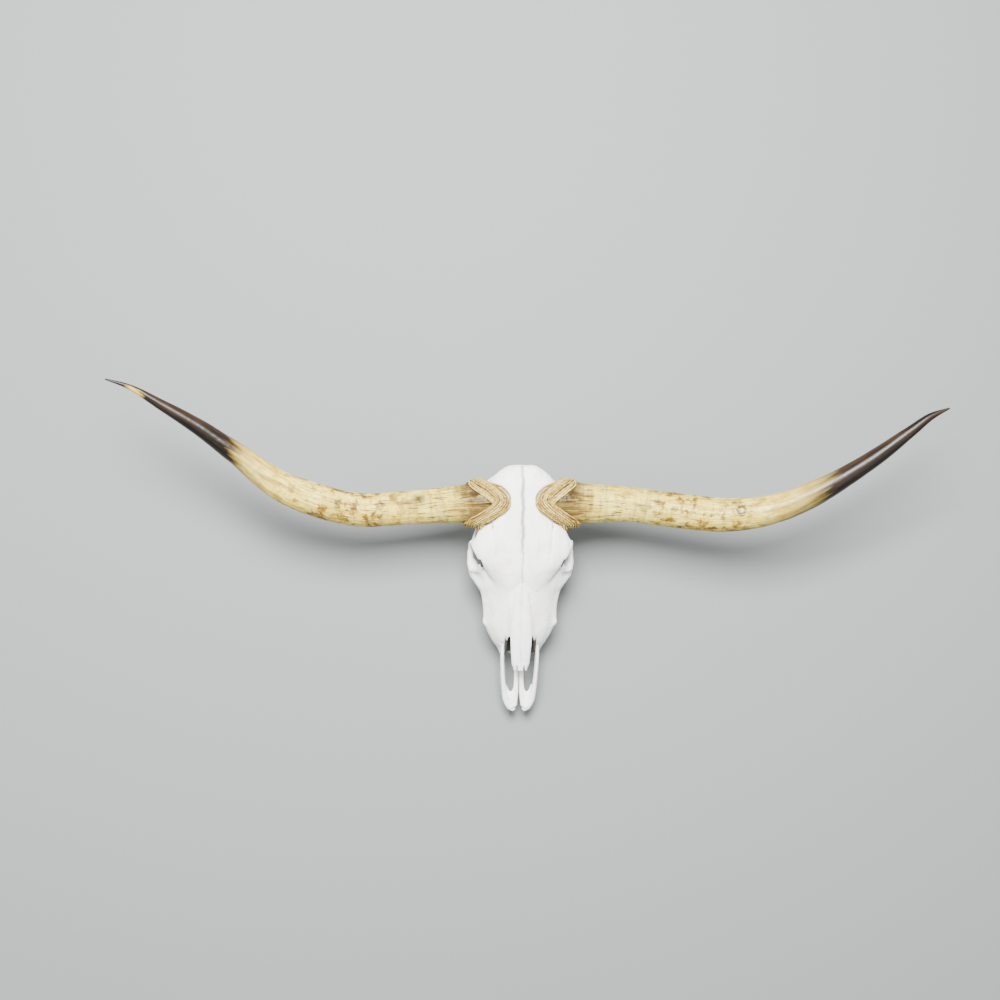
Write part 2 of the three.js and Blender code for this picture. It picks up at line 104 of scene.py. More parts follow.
def mark(mesh, **fields):
    """Keeps a number for each point of a mesh, for its material to read."""
    for field, values in fields.items():
        mesh.attributes.new(field, "FLOAT", "POINT").data.foreach_set("value", values)


def relaxed(values, edges, rounds, free=1.0):
    """Values eased towards the mean of their neighbours. `free` is 0 where they are held."""
    a, b = edges.T
    n = len(values)
    share = np.bincount(a, minlength=n) + np.bincount(b, minlength=n)
    values = np.array(values, float).reshape(n, -1)
    free = np.broadcast_to(np.reshape(free, (-1, 1)), (n, 1))
    for _ in range(rounds):
        for k in range(values.shape[1]):
            column = values[:, k]
            near = np.bincount(a, column[b], n) + np.bincount(b, column[a], n)
            values[:, k] += 0.5 * free[:, 0] * (near / share - column)
    return values


def fade(x, low, high):
    """0 below `low`, 1 above `high`, and smooth between them."""
    t = np.clip((x - low) / (high - low), 0, 1)
    return t * t * (3 - 2 * t)


def within(x, low, full_from, full_to, high):
    """1 between the two inner limits, falling smoothly to 0 at the outer ones."""
    return fade(x, low, full_from) * fade(-x, -high, -full_to)


def hump(distance, reach):
    """A rounded hump or pit, 1 at its middle and 0 from its reach on."""
    return np.clip(1 - (distance / reach) ** 2, 0, 1) ** 2


def ridge(distance, width):
    """A soft ridge or groove, 1 along its middle line."""
    return np.exp(-((distance / width) ** 2))


def grain(points, size, seed=0.0):
    """Smooth noise of about -1 to 1 at each point, with lumps of `size` mm."""
    offset = Vector((seed, -seed, 2 * seed))
    return np.array([noise.noise(Vector(p) / size + offset) for p in points])


def eased(mesh, light, heavy, low, high):
    """Evens out facets and keeps rims, edges and teeth: strong easing where it moves little."""
    edges = points_of(mesh, "edges", "vertices", 2)
    start = measure(points_of(mesh))
    lightly = relaxed(start, edges, light)
    heavily = relaxed(lightly, edges, heavy)
    heavily += relaxed(lightly - heavily, edges, heavy)  # gives thin bars their thickness back
    moved = np.linalg.norm(heavily - lightly, axis=1)
    keep = relaxed(fade(moved, low, high), edges, rounds=12)
    return heavily * (1 - keep) + lightly * keep


skull = fine_copy("skull", ("cranium", "maxilla_left", "maxilla_right"), grow=0.38, voxel=1.75)
skull_edges = points_of(skull, "edges", "vertices", 2)

# The solid is grooved for the lashings, and creased where the brow plate and the front of the eye's
# rim meet the face. Real bone is neither, so these places are drawn smooth again.
GROOVE_REACH = 2.6
band = bmesh.new()
for side in ("left", "right"):
    band.from_mesh(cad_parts["lashing_" + side].data)
band_tree = BVHTree.FromBMesh(band)
band.free()
near_band = [band_tree.find_nearest(v.co, GROOVE_REACH * MM)[0] for v in skull.vertices]
in_groove = np.array([float(found is not None) for found in near_band])
x, y, z = measure(points_of(skull)).T
across = np.abs(x)
upward = points_of(skull, "vertex_normals", "vector")[:, 2]
in_crease = within(y, -292, -280, -228, -214) * within(across, 26, 32, 74, 84)
in_crease *= fade(z, 108, 114) * fade(upward, 0, 0.3)
in_rim = within(y, -268, -255, -213, -205) * fade(across, 82, 88)
in_rim *= fade(z, 92, 98) * fade(upward, 0.05, 0.3)
free = np.maximum.reduce([in_groove, in_crease, in_rim])
drawn = relaxed(measure(points_of(skull)), skull_edges, rounds=600, free=free)
skull.vertices.foreach_set("co", place(drawn).ravel())

surface = eased(skull, light=4, heavy=110, low=0.9, high=2.6)

# Behind the eye the rim is a bar about 5 mm wide, a little thinner than in the solid.
x, y, z = surface.T
across = np.abs(x)
beside = within(y, -206, -197, -173, -163) * fade(across, 90, 95) * within(z, 84, 90, 118, 126)
surface[:, 0] += np.sign(x) * beside * 0.3 * np.clip(110 - across, 0, 16)
skull.vertices.foreach_set("co", place(surface).ravel())
skull.update()
out = points_of(skull, "vertex_normals", "vector")
x, y, z = surface.T
across = np.abs(x)
facing_up = fade(out[:, 2], 0.1, 0.5)


def from_point(px, py, pz):
    """Distance of each point of the skull from a place and from its mirror image."""
    return np.sqrt((across - px) ** 2 + (y - py) ** 2 + (z - pz) ** 2)


# From here on `lift` is how far each point moves outwards, in mm. First the joint between the two
# brow bones, the shallow valley along it and a faint crease at the poll.
brow_wander = 0.9 * np.sin(y / 8.3) + 0.5 * np.sin(y / 3.1)
along_brow = fade(y, -256, -250) * facing_up * fade(z, 120, 140)
lift = -2.3 * ridge(x - brow_wander, 3.0) * along_brow * (0.35 + 0.65 * fade(y, -215, -150))
lift -= 1.5 * ridge(x, 9) * along_brow * within(y, -200, -140, -60, -15)
poll_crease = ridge(y + 12 + 0.01 * across**2, 2.2)
lift -= 0.8 * poll_crease * fade(-across, -34, -20) * fade(z, 100, 120)

# Opening above each eye, and the vein groove that runs forward from it, with a swelling beside it.
HOLE_X, HOLE_Y = 64, -130
vein = across - (HOLE_X + 0.1 * (y - HOLE_Y))
lift -= 1.4 * ridge(vein, 3.2) * within(y, -222, -190, -140, -128) * facing_up
brow_hole = ridge(across - HOLE_X, 2.3) * ridge(y - HOLE_Y, 6) * facing_up
lift -= 4.5 * brow_hole
lift += 1.2 * ridge(across - 52, 9) * within(y, -235, -200, -160, -135) * facing_up

# Notch between the brow's edge and the tear bone, deeper on the animal's right, and pits where
# brow, nose and jaw bones meet.
notch = ridge((across - 86.6) * 0.936 - (y + 209) * 0.352, 2.9) * np.where(x < 0, 1, 0.6)
notch *= within(y, -220, -215, -202, -198) * fade(z, 118, 130)
lift -= 3.5 * notch
lift -= 1.1 * np.clip(grain(surface, 4.2, 5.0), 0, 1) * hump(np.hypot(x, y + 268), 34) * facing_up

# Hollows (-) and knobs (+): height, place and reach.
CHEEK_KNOB = (75, -335, 83)
for rise, spot, reach in (
    (-1.8, (88, -240, 118), 22),  # tear bone
    (2.2, CHEEK_KNOB, 13),
    (-7.0, (60, -369, 62), 5.5),  # opening of the face nerve
    (-5.0, (17, -262, 44), 5),  # opening of the palate
    (-2.5, (40, -250, 146), 3.5),  # pits beside the root of the nose
    (-2.0, (31, -268, 146), 3),
):
    lift += rise * hump(from_point(*spot), reach)

# Swelling of the jaw over each tooth root, and the groove along the middle of the palate.
tooth_ends = np.cumsum([-386, 17, 18, 19, 26, 29, 29])
tooth_spans = list(zip(tooth_ends, tooth_ends[1:]))
over_root = sum(hump(y - (a + b) / 2, (b - a) * 0.62) for a, b in tooth_spans)
beside_teeth = within(z, 18, 24, 32, 50) * fade(across, 48, 56) * fade(-y, 240, 250)
lift += 1.3 * (over_root - 0.5) * beside_teeth
under_palate = fade(-out[:, 2], 0.2, 0.6) * fade(-y, 225, 245) * fade(-z, -60, -50)
lift -= ridge(x, 1.8) * under_palate

# Nape ridge and knob on the back of the head, where the neck was tied on, and hollows beside it.
behind = fade(out[:, 1], 0.2, 0.6) * fade(y, -60, -40)
lift += 2.6 * ridge(z - 124 + across * 0.12, 5) * behind
lift += 4.5 * hump(from_point(0, -18, 122), 11)
lift -= 1.6 * hump(from_point(26, -22, 108), 12)

# Grooves between the teeth and down the middle of the large ones.
above_teeth = fade(z, 20, 27)
for start, end in tooth_spans:
    lift -= 2.4 * ridge(y - start, 1.7) * (1 - above_teeth) * fade(-y, 236, 243)
    if end - start > 20:
        lift -= 1.3 * ridge(y - (start + end) / 2, 1.9) * (1 - above_teeth)

# Uneven growth of the bone. It is rougher where muscle was tied on and smooth on the teeth.
rough = 0.25 + 0.5 * behind + 0.6 * hump(from_point(*CHEEK_KNOB), 18) + 0.3 * fade(across, 88, 98)
lift += (0.45 * grain(surface, 17) + rough * grain(surface, 5.5, 3.0)) * above_teeth
sculpted = surface + out * lift[:, None]

# The front edge of the jaws is uneven, and the faces that the skull rests on stay on the floor.
sculpted[:, 1] += 2.2 * grain(surface, 8, 13.0) * fade(-y, 396, 405)
height = sculpted[:, 2]
sculpted[:, 2] = np.where(height < 1.2, np.maximum(height - 0.5, 0.02), height)

# How deep each point lies below its surroundings, for dust and painted shade in hollows. The nose,
# the eye sockets, the opening for the spinal cord, the small openings and the notch at each eye are
# painted dark inside as shade.
level = relaxed(sculpted, skull_edges, rounds=60)
below_level = np.einsum("ij,ij->i", level - sculpted, out)
in_nose = fade(-across, -36, -33) * within(z, 51, 54, 106, 118) * within(y, -436, -404, -316, -306)
under_brow = fade(-z, -147, -142)
in_socket = fade(-from_point(66, -190, 131), -33, -25) * under_brow
round_socket = fade(-from_point(60, -190, 118), -38, -26) * under_brow
from_neck = np.sqrt((x / 18) ** 2 + ((y + 20) / 36) ** 2 + ((z - 88) / 17) ** 2)
in_neck = fade(-from_neck, -1.2, -1.05) * fade(-y, 20, 36)
# A grey strip of painted shade beside the nose bones.
beside_nose = ridge(across - 25, 5) * fade(-y, 285, 345) * facing_up
hollows = [
    0.7 * fade(below_level, 0.2, 2.4),
    in_nose,
    0.92 * in_socket,
    0.6 * round_socket,
    0.96 * in_neck,
    0.95 * brow_hole,
    fade(notch, 0.15, 0.5),
    0.3 * beside_nose,
]

# Signed distance to the joint of the two brow bones, which is drawn only where the brow faces up,
# and to the joint of brow and tear bone.
faint = 2.8 * fade(-y, 140, 210) + 1.2 * fade(y, -50, -20)
middle = x - brow_wander + faint * np.sign(x - brow_wander)
on_brow = fade(facing_up, 0.1, 0.4) * fade(y, -256, -252) * fade(z, 118, 124)
tear = ((across - 22) * 73 - (y + 281) * 66) / 98.4
tear += 2.2 * np.sin(y / 6.1) + 1.3 * np.sin(y / 2.7)
at_tear = (across > 24) & (y < -212) & (y > -282) & (z > 112)
FAR = 6
tear = np.where(at_tear, tear, FAR * np.sign(tear))
teeth = (1 - fade(z + 1.6 * grain(surface, 7, 9.0), 21, 25)) * fade(-y, 236, 243)
skull.vertices.foreach_set("co", place(sculpted).ravel())
mark(
    skull,
    hollow=np.maximum.reduce(hollows),
    on_brow=on_brow,
    brow_joint=middle * MM,
    tear_joint=tear * MM,
    tooth=teeth,
)
skull.update()


def jaw_joint(points):
    """Lengthways place of the joint between upper jaw and brow, toothed as a real one is."""
    px, _, pz = measure(points).T
    heights = [-60, 40, 64, 92, 118, 146, 190]
    joint = np.interp(pz, heights, [-236, -236, -240, -252, -262, -279, -279])
    joint += 0.9 * np.sin(pz / 2.1 + 2.2 * np.sin(pz / 9))
    joint += np.sin(px / 2.3 + 1.7 * np.sin(px / 11)) + 2 * np.sin(pz / 14 + px / 17)
    return joint * MM


def parted(name, source, cuts):
    """The part of the skull behind or in front of the joint, closed where it is cut."""
    points = points_of(source)
    points[:, 1] -= jaw_joint(points) + POLL_Y
    flat = source.copy()
    flat.vertices.foreach_set("co", points.ravel())
    part = bmesh.new()
    part.from_mesh(flat)
    for point, normal in cuts:
        geometry = part.verts[:] + part.edges[:] + part.faces[:]
        plane = {"plane_co": point, "plane_no": normal, "dist": 1e-7}
        cut = bmesh.ops.bisect_plane(part, geom=geometry, clear_outer=True, **plane)
        rim = [e for e in cut["geom_cut"] if isinstance(e, bmesh.types.BMEdge)]
        bmesh.ops.triangle_fill(part, use_beauty=True, edges=rim)
    bmesh.ops.recalc_face_normals(part, faces=part.faces)
    mesh = bpy.data.meshes.new(name)
    part.to_mesh(mesh)
    part.free()
    bpy.data.meshes.remove(flat)
    points = points_of(mesh)
    points[:, 1] += jaw_joint(points) + POLL_Y
    mesh.vertices.foreach_set("co", points.ravel())
    mesh.shade_smooth()
    return shown(name, mesh)


GAP = 0.05 * MM
BEHIND_JOINT = ((0, GAP, 0), (0, -1, 0))
BEFORE_JOINT = ((0, -GAP, 0), (0, 1, 0))
LEFT_OF_MIDDLE = ((MIDDLE_X + GAP, 0, 0), (-1, 0, 0))
RIGHT_OF_MIDDLE = ((MIDDLE_X - GAP, 0, 0), (1, 0, 0))
bones = {
    "cranium": parted("brow_and_braincase", skull, [BEHIND_JOINT]),
    "maxilla_left": parted("upper_jaw_left", skull, [BEFORE_JOINT, LEFT_OF_MIDDLE]),
    "maxilla_right": parted("upper_jaw_right", skull, [BEFORE_JOINT, RIGHT_OF_MIDDLE]),
}


def linear(code):
    """An sRGB hex code as a linear colour."""
    parts = [int(code[i : i + 2], 16) / 255 for i in (0, 2, 4)]
    return (*[c / 12.92 if c <= 0.04045 else ((c + 0.055) / 1.055) ** 2.4 for c in parts], 1)


def add(material, kind, inputs=None, output=0, **settings):
    """Adds a node with its settings and links, and gives one of its outputs."""
    tree = material.node_tree
    made = tree.nodes.new("ShaderNode" + kind)
    for key, value in settings.items():
        setattr(made, key, value)
    for key, value in (inputs or {}).items():
        if isinstance(value, bpy.types.NodeSocket):
            tree.links.new(value, made.inputs[key])
        else:
            made.inputs[key].default_value = value
    return made.outputs[output]


SPAN = ("Value", "From Min", "From Max", "To Min", "To Max")


def painted(material, base, layers):
    """Lays colours over a base. Each is as strong as its spans multiplied. A span is an output,
    where it begins and ends, and the strength at each end, which is 0 and 1 if it isn't given."""
    colour = linear(base)
    for over, *spans in layers:
        strength = 1.0
        for span in spans:
            part = add(material, "MapRange", dict(zip(SPAN, span)))
            strength = add(material, "Math", {0: strength, 1: part}, operation="MULTIPLY")
        over = linear(over) if isinstance(over, str) else over
        colour = add(material, "Mix", {0: strength, 6: colour, 7: over}, 2, data_type="RGBA")
    return colour


def ragged(material, distance, texture, low, high, by):
    """A distance that a texture moves by up to `by` to either side."""
    moved = add(material, "MapRange", dict(zip(SPAN, (texture, low, high, -by, by))))
    return add(material, "Math", {0: distance, 1: moved}, operation="ADD")


def off_line(material, distance, line=0.0):
    """How far a distance is from a line, on either side of it."""
    gap = add(material, "Math", {0: distance, 1: line}, operation="SUBTRACT")
    return add(material, "Math", {0: gap}, operation="ABSOLUTE")


# Bleached bone: chalk white, matt, a little warm where fat has stayed, a little grey where dust lies
# and painted darker in hollows as shade. Fine lengthways grain and pores of about 0.5 mm, drawn at
# 1 to 2 mm so that they show.
bone = bpy.data.materials.new("bleached bone")
bone.use_nodes = True
skin = bone.node_tree.nodes["Principled BSDF"]
here = add(bone, "TexCoord", output="Object")
grain_way = add(bone, "Mapping", {"Vector": here, "Scale": (1, 0.3, 1)})
patches = add(bone, "TexNoise", {"Vector": here, "Scale": 22, "Detail": 4})
cloud = add(bone, "TexNoise", {"Vector": grain_way, "Scale": 70, "Detail": 6, "Roughness": 0.6})
pores = add(bone, "TexVoronoi", {"Vector": here, "Scale": 480}, "Distance")
wobble = add(bone, "TexNoise", {"Vector": here, "Scale": 420, "Detail": 3})
hollow_at = add(bone, "Attribute", output="Fac", attribute_name="hollow")
brow_at = add(bone, "Attribute", output="Fac", attribute_name="brow_joint")
brow_here = add(bone, "Attribute", output="Fac", attribute_name="on_brow")
tear_at = add(bone, "Attribute", output="Fac", attribute_name="tear_joint")
tooth_at = add(bone, "Attribute", output="Fac", attribute_name="tooth")
cool = add(bone, "MapRange", {"Value": cloud, "From Min": 0.5, "From Max": 0.75})
dotted = add(bone, "MapRange", {"Value": pores, "From Min": 0.22, "From Max": 0.06})
pored = add(bone, "Math", {0: dotted, 1: cool}, operation="MULTIPLY")

# The joints wander about 1 mm to either side. The brow's is wide and soft, the tear bone's thin.
brow_off = off_line(bone, ragged(bone, brow_at, wobble, 0.3, 0.7, 0.0012))
tear_off = off_line(bone, ragged(bone, tear_at, wobble, 0.3, 0.7, 0.0012))
brow_line = add(bone, "MapRange", {"Value": brow_off, "From Min": 0.0056, "From Max": 0.0008})
brow_line = add(bone, "Math", {0: brow_line, 1: brow_here}, operation="MULTIPLY")
tear_line = add(bone, "MapRange", dict(zip(SPAN, (tear_off, 0.0009, 0.0002, 0, 0.3))))
line = add(bone, "Math", {0: brow_line, 1: tear_line}, operation="MAXIMUM")

# The teeth are browner where dust lies and painted darker in hollows as shade.
stain_and_shade = add(bone, "Math", {0: cool, 1: hollow_at}, operation="MAXIMUM")
enamel = painted(bone, "EDE3C6", [("7A5F3A", (stain_and_shade,))])
coat = [
    ("F2EEE3", (patches, 0.42, 0.68)),  # fat that has stayed
    ("D9DDDF", (cool,)),  # dust
    # dust and painted shade in hollows, then painted black shade deep in the nose, eyes and openings
    ("8A8477", (hollow_at, 0, 1, 0, 0.8)),
    ("1D1914", (hollow_at, 0.72, 1, 0, 0.93)),
    ("A9A497", (pored, 0, 1, 0, 0.5)),
    ("747573", (line, 0, 1, 0, 0.75)),
    (enamel, (tooth_at,)),
]
bone.node_tree.links.new(painted(bone, "F5F5F2", coat), skin.inputs["Base Color"])
dull = add(bone, "MapRange", {"Value": tooth_at, "To Min": 0.62, "To Max": 0.28})
bone.node_tree.links.new(dull, skin.inputs["Roughness"])
skin.inputs["Specular IOR Level"].default_value = 0.4
skin.inputs["IOR"].default_value = 1.55
relief = add(bone, "Math", {0: cloud, 1: 0.6}, operation="MULTIPLY")
relief = add(bone, "Math", {0: relief, 1: pored}, operation="SUBTRACT")
relief = add(bone, "Math", {0: relief, 1: line}, operation="SUBTRACT")
bump = add(bone, "Bump", {"Height": relief, "Strength": 0.55, "Distance": 0.0007})
bone.node_tree.links.new(bump, skin.inputs["Normal"])

for node, piece in bones.items():
    piece.data.materials.append(bone)
    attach(piece, "root")
    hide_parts(node)

# ---------------------------------------------------------------- nose bones and front of the jaw
# Two long thin nose bones with forked free tips, and the two toothless bones in front of the upper
# jaws: a blade along the nose opening, a flat plate at the tip, and a rod back along the palate.
for node, name in (
    ("nasal_left", "nose_bone_left"),
    ("nasal_right", "nose_bone_right"),
    ("premaxilla_left", "muzzle_bone_left"),
    ("premaxilla_right", "muzzle_bone_right"),
):
    thin = fine_copy(name, (node,), grow=0.15, voxel=0.9)
    form = eased(thin, light=3, heavy=30, low=0.5, high=1.4)
    x, y, z = form.T
    across = np.abs(x)
    if name.startswith("nose"):
        # Two notches fork the free tip, and a low step runs along the outer edge.
        fork = 11 * ridge(across - 7.5, 1.9) + 4 * fade(across, 13, 17)
        form[:, 1] += fork * fade(-y, 424, 438)
        form[:, 2] += 0.5 * grain(form, 14, 5.0)
    else:
        form += points_of(thin, "vertex_normals", "vector") * 0.5
        form[:, 2] += 0.4 * grain(form, 10, 6.0) - 1.8 * fade(y, -410, -380)
        form[:, 0] += 0.3 * grain(form, 8, 7.0)
    thin.vertices.foreach_set("co", place(form).ravel())
    thin.update()
    out = points_of(thin, "vertex_normals", "vector")
    # Painted shade, with some dust, where the surface lies below its surroundings.
    level = relaxed(form, points_of(thin, "edges", "vertices", 2), rounds=40)
    below_level = np.einsum("ij,ij->i", level - form, out)
    no_joint = np.full(len(x), FAR * MM)
    mark(thin, hollow=fade(below_level, 0.3, 2.0), tear_joint=no_joint)
    thin.shade_smooth()
    piece = shown(name, thin)
    piece.data.materials.append(bone)
    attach(piece, "root")
    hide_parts(node)

# ---------------------------------------------------------------- horns
# A long hollow cone of horn over a core of bone, grown in rings from the root and worn smooth
# towards the tip. Each station is the middle of the horn and its radius in mm.
HORN_STATIONS = {
    "left": [
        (66, -81, 150, 43.5),
        (143, -82, 152, 42),
        (220, -84, 158, 37.5),
        (316, -96, 167, 37.5),
        (441, -106, 187, 35.5),
        (541, -88, 209, 30),
        (605, -60, 225, 26.5),
        (667, -24, 240, 21.5),
        (729, 18, 256, 17.5),
        (791, 66, 272, 12),
        (832, 97, 280, 7.5),
        (868, 113, 286, 1.5),
    ],
    "right": [
        (-66, -81, 150, 43.5),
        (-140, -84, 152, 39.5),
        (-240, -91, 160, 36),
        (-340, -95, 170, 35.5),
        (-422, -77, 183, 35.5),
        (-499, -46, 198, 31.5),
        (-587, 19, 220, 22.7),
        (-673, 80, 242, 16),
        (-730, 114, 256, 11.5),
        (-800, 153, 274, 5),
        (-842, 166, 281, 1.5),
    ],
}


def smooth_line(stations, count):
    """Evenly spaced points on a smooth line through the stations, with the distance along it."""
    stations = np.array(stations, float)
    steps = np.linalg.norm(np.diff(stations[:, :3], axis=0), axis=1)
    knots = np.concatenate([[0], np.cumsum(steps)])
    slopes = np.gradient(stations, knots, axis=0)
    at = np.linspace(0, knots[-1], count)
    i = np.clip(np.searchsorted(knots, at, side="right") - 1, 0, len(knots) - 2)
    span = (knots[i + 1] - knots[i])[:, None]
    t = (at - knots[i])[:, None] / span
    line = (
        (2 * t**3 - 3 * t**2 + 1) * stations[i]
        + (t**3 - 2 * t**2 + t) * span * slopes[i]
        + (3 * t**2 - 2 * t**3) * stations[i + 1]
        + (t**3 - t**2) * span * slopes[i + 1]
    )
    return line, at


def unrolled(name, turns, rows, uv=None):
    """A sheet to be rolled into a tube, with the row and the angle of each of its points."""
    sheet = bmesh.new()
    if uv:
        sheet.loops.layers.uv.new(uv)
    bmesh.ops.create_grid(sheet, x_segments=turns, y_segments=rows, size=1, calc_uvs=bool(uv))
    mesh = bpy.data.meshes.new(name)
    sheet.to_mesh(mesh)
    sheet.free()
    flat = points_of(mesh)
    return mesh, np.rint((flat[:, 1] + 1) / 2 * rows).astype(int), flat[:, 0] * math.pi


def unit(vectors):
    """The same directions, each of length 1."""
    return vectors / np.linalg.norm(vectors, axis=1)[:, None]


UNDER_ROOT = 16  # mm of horn that lies hidden in the brow


def horn_piece(side_name, side):
    """The sheath of one horn, from under the twine to the tip."""
    rows, turns = 600, 120
    hidden = [(side * 50, -81, 149, 37), (side * 57, -81, 149.5, 41.5)]
    line, length = smooth_line(hidden + HORN_STATIONS[side_name], rows + 1)
    centre, radius = line[:, :3], line[:, 3]
    heading = unit(np.gradient(centre, axis=0))
    front = unit(np.cross(heading, (0, 1, 0)) * side)
    top = np.cross(front, heading) * side
    mesh, row, angle = unrolled("horn_" + side_name, turns, rows)
    s = length[row] - UNDER_ROOT

    # Growth rings that fade along the horn, fibres along it, and a crease where the skin ended.
    round_place = np.stack([np.cos(angle) * 30, np.sin(angle) * 30, s], axis=1)
    young = np.exp(-np.clip(s, 0, None) / 190)
    drift = grain(round_place * (0.3, 0.3, 0.8), 20, side * 4.0)
    rings = np.sin(s / 2.3 + 4.5 * drift) * 0.35 + np.sin(s / 5.1 - 6 * drift + 1) * 0.8
    fibre = grain(round_place * (1, 1, 0.05), 3.4, 2.0 + side)
    waves = grain(round_place, 38, 7.0 + side)
    knobs = grain(round_place * (1, 1, 0.6), 13, 11.0 + side)
    worn = fade(length[-1] - s, 60, 380)
    crease = ridge(s - 108 - 7 * drift, 3.2) * (0.5 + knobs)
    swell = (0.55 * young + 0.1 * worn) * rings + (0.55 * young + 0.12 * worn) * fibre
    swell += (0.9 * waves + 0.7 * young * knobs) * worn - 1.5 * np.clip(crease, 0, 1.2)
    r = radius[row] * (1 + 0.02 * np.cos(2 * angle)) + swell
    smooth_tip = row > rows - 8
    r = np.where(row == rows, 0.0, np.where(smooth_tip, radius[row], r))
    ring = front[row] * np.cos(angle)[:, None] + top[row] * np.sin(angle)[:, None]
    mesh.vertices.foreach_set("co", place(centre[row] + ring * r[:, None]).ravel())

    # Where each point would be on a straight horn, for the colours that follow it.
    straight = np.stack([np.cos(angle) * radius[row], np.sin(angle) * radius[row], s], axis=1)
    field = mesh.attributes.new("straight", "FLOAT_VECTOR", "POINT")
    field.data.foreach_set("vector", (straight * MM).ravel())
    sheath = bmesh.new()
    sheath.from_mesh(mesh)
    bmesh.ops.remove_doubles(sheath, verts=sheath.verts, dist=0.002 * MM)
    rim = [e for e in sheath.edges if e.is_boundary]
    bmesh.ops.triangle_fill(sheath, use_beauty=True, edges=rim)
    bmesh.ops.recalc_face_normals(sheath, faces=sheath.faces)
    sheath.to_mesh(mesh)
    sheath.free()
    mesh.shade_smooth()
    return shown("horn_sheath_" + side_name, mesh)


# Polished cow horn: waxy and glossy. Cream to straw yellow with ochre clouds, brown fibre cracks
# and faint rings, brown and ragged at the root, and dark brown to black towards the tip, where its
# lower side is painted blacker as shade. Its colour is read from where a point would be on a straight
# horn: Z along it and Y upwards, in metres.
def horn_finish(name, seed, dark_from, dark_over, slope, pale_at, knot_at, knot_size, knot_edge):
    """`dark_from`, `dark_over` and `slope` place the dark end, `pale_at` a pale patch near the tip
    (0 for none), and the rest a worn knot: its place, the radius of its ring and how wide it is."""
    horn = bpy.data.materials.new(name)
    horn.use_nodes = True
    skin = horn.node_tree.nodes["Principled BSDF"]
    straight = add(horn, "Attribute", output="Vector", attribute_name="straight")
    length = add(horn, "SeparateXYZ", {0: straight}, "Z")
    upward = add(horn, "SeparateXYZ", {0: straight}, "Y")
    offset = (seed, -seed, seed)
    shifted = add(horn, "VectorMath", {0: straight, 1: offset}, operation="ADD")
    long_way = add(horn, "Mapping", {"Vector": shifted, "Scale": (1, 1, 0.045)})
    thread_way = add(horn, "Mapping", {"Vector": shifted, "Scale": (1, 1, 0.09)})
    round_way = add(horn, "Mapping", {"Vector": shifted, "Scale": (0.16, 0.16, 1)})
    streaks, fibres, threads, ripples, clouds, blots, specks = (
        add(horn, "TexNoise", {"Vector": way, "Scale": scale, "Detail": detail, "Roughness": rough})
        for way, scale, detail, rough in (
            (long_way, 170, 5, 0.6),
            (long_way, 900, 3, 0.5),
            (thread_way, 330, 2, 0.5),
            (round_way, 110, 4, 0.6),
            (shifted, 20, 4, 0.5),
            (shifted, 46, 5, 0.65),
            (shifted, 260, 2, 0.5),
        )
    )

    # Where the skin ended, where the rough root ends, and where the dark end begins on a slant.
    fold = off_line(horn, ragged(horn, length, blots, 0, 1, 0.012), 0.108)
    root_at = ragged(horn, length, blots, 0, 1, 0.05)
    slanted = add(horn, "Math", {0: upward, 1: slope, 2: length}, operation="MULTIPLY_ADD")
    reach = ragged(horn, slanted, streaks, 0.3, 0.7, 0.022)
    far_out = add(horn, "MapRange", {"Value": length, "From Min": 0.10, "From Max": 0.24})
    far_in = add(horn, "MapRange", {"Value": length, "From Min": 0.50, "From Max": 0.36})
    mid_way = add(horn, "Math", {0: far_out, 1: far_in}, operation="MULTIPLY")

    # The worn knot is a ragged ring, or a blot where the ring has no radius.
    away = add(horn, "VectorMath", {0: straight, 1: knot_at}, "Value", operation="DISTANCE")
    away = ragged(horn, away, streaks, 0.3, 0.7, 0.005)
    away = ragged(horn, away, blots, 0.3, 0.7, 0.004)
    knot = off_line(horn, away, knot_size)

    dark = [
        ("33210F", (streaks, 0.42, 0.66)),
        # painted shade: blacker on the lower side, away from the light
        ("0D0A07", (upward, 0.004, -0.010, 0, 0.75)),
    ]
    coat = [
        ("D8BC4A", (clouds, 0.42, 0.60)),
        ("A08028", (streaks, 0.46, 0.68, 0, 0.85)),
        ("5E420F", (blots, 0.48, 0.61), (mid_way, 0, 1, 0.22, 0.97)),  # stains
        ("7C6E2E", (ripples, 0.48, 0.66), (length, 0.40, 0.05, 0.12, 0.67)),  # growth rings
        ("33230B", (threads, 0.565, 0.63), (length, 0.40, 0.05, 0.45, 0.95)),  # fibre cracks
        ("44320F", (specks, 0.64, 0.70), (mid_way, 0, 1, 0, 0.8)),
        ("8A7A55", (fold, 0.006, 0.001), (clouds, 0.35, 0.55, 0.1, 0.5)),  # dust in the fold
        ("6B5226", (root_at, 0.095, 0.045), (streaks, 0.38, 0.54, 0.3, 0.95)),
        (
            "33240F",
            (root_at, 0.085, 0.035),
            (upward, -0.012, 0.016, 0.35, 1),
            (blots, 0.37, 0.49),
        ),
        ("1F160A", (root_at, 0.05, 0.0), (threads, 0.42, 0.54)),
        ("7D6836", (reach, dark_from - 0.085, dark_from, 0, 0.72)),  # fringe of the dark end
        (painted(horn, "110A04", dark), (reach, dark_from, dark_from + dark_over)),
    ]
    if pale_at:
        past = off_line(horn, length, pale_at)
        pale = (past, 0.024, 0.010), (streaks, 0.38, 0.5), (upward, 0.0035, 0.0005)
        coat.append(("B59C38", *pale))
    coat.append(("33220A", (knot, knot_edge, 0.3 * knot_edge), (specks, 0.3, 0.5, 0.6, 0.95)))
    horn.node_tree.links.new(painted(horn, "E2CF68", coat), skin.inputs["Base Color"])

